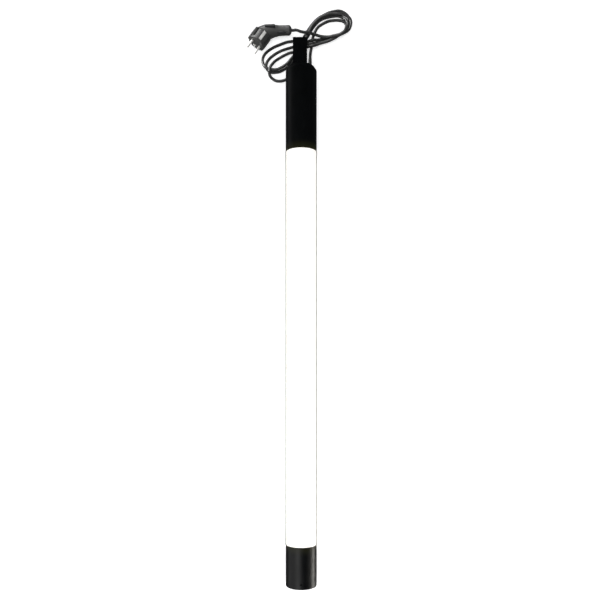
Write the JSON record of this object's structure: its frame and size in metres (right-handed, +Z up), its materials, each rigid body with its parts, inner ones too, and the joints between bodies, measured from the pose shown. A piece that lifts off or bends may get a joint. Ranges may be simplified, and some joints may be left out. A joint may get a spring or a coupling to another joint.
{
  "type": "led light tube",
  "caption": "Studio light tube: lit opal tube between two black end caps, with a strap hanger, a mains lead folded in a hank and an angled plug.",
  "frame": {"origin": "centre of the lamp's underside as it lies on a flat surface, lead and plug left out", "axes": "+Y along the lamp's axis towards the hanger and the lead, +Z up from the surface it lies on, +X to the right of an observer above who has the hanger at the top"},
  "size_m": [0.22, 1.2032, 0.066],
  "materials": {
    "clear_guard": "clear polycarbonate, gloss",
    "opal_diffuser": "opal polycarbonate, lit evenly from inside",
    "moulding": "black moulded plastic, fine grain, satin",
    "white_plastic": "white moulded plastic",
    "seal_rubber": "black silicone",
    "alloy": "mill finish",
    "led_board": "white solder resist",
    "dark_plastic": "dark moulded plastic",
    "steel": "zinc plated",
    "black_steel": "black powder coat on flat strap",
    "driver_board": "green solder resist",
    "capacitor_sleeve": "dark blue sleeve",
    "copper": "enamelled copper winding",
    "cord_rubber": "black rubber bush",
    "cord_sheath": "black PVC sheath, satin",
    "core_brown": "PVC insulation",
    "core_blue": "PVC insulation",
    "core_green": "PVC insulation",
    "core_red": "PVC insulation",
    "plug_rubber": "black moulded rubber",
    "nickel": "nickel plated brass"
  },
  "bodies": {
    "root": {"guard_tube": "clear_guard", "diffuser_tube": "opal_diffuser", "upper_cap": "moulding", "lower_cap": "moulding", "upper_tube_plug": "white_plastic", "lower_tube_plug": "white_plastic", "upper_seal_ring": "seal_rubber", "lower_seal_ring": "seal_rubber", "led_carrier": "alloy", "driver_tray": "alloy", "led_board_1": "led_board", "led_board_2": "led_board", "led_board_3": "led_board", "led_board_4": "led_board", "end_disc": "dark_plastic", "cable_clamp": "dark_plastic", "transformer": "dark_plastic", "filter_capacitor": "dark_plastic", "led_lead_negative": "dark_plastic", "upper_cap_screw": "steel", "lower_cap_screw": "steel", "end_disc_screw": "black_steel", "hanger_bolt_1": "steel", "hanger_bolt_2": "steel", "clamp_screw_1": "steel", "clamp_screw_2": "steel", "tray_screw_1": "steel", "tray_screw_2": "steel", "hanger": "black_steel", "driver_board": "driver_board", "board_standoff_1": "white_plastic", "board_standoff_2": "white_plastic", "board_standoff_3": "white_plastic", "board_standoff_4": "white_plastic", "bulk_capacitor": "capacitor_sleeve", "output_capacitor": "capacitor_sleeve", "filter_choke": "copper", "fuse": "white_plastic", "terminal_block": "white_plastic", "cord_grommet": "cord_rubber", "sheath_end": "cord_sheath", "wire_live": "core_brown", "wire_neutral": "core_blue", "wire_earth": "core_green", "led_lead_positive": "core_red", "plug_body": "plug_rubber", "plug_pin_1": "nickel", "plug_pin_2": "nickel", "earth_clip_1": "nickel", "earth_clip_2": "nickel", "cord_lead": "cord_sheath", "cord_low_loop": "cord_sheath", "cord_tail": "cord_sheath", "hank_right": "cord_sheath", "hank_left": "cord_sheath"}
  },
  "joints": []
}
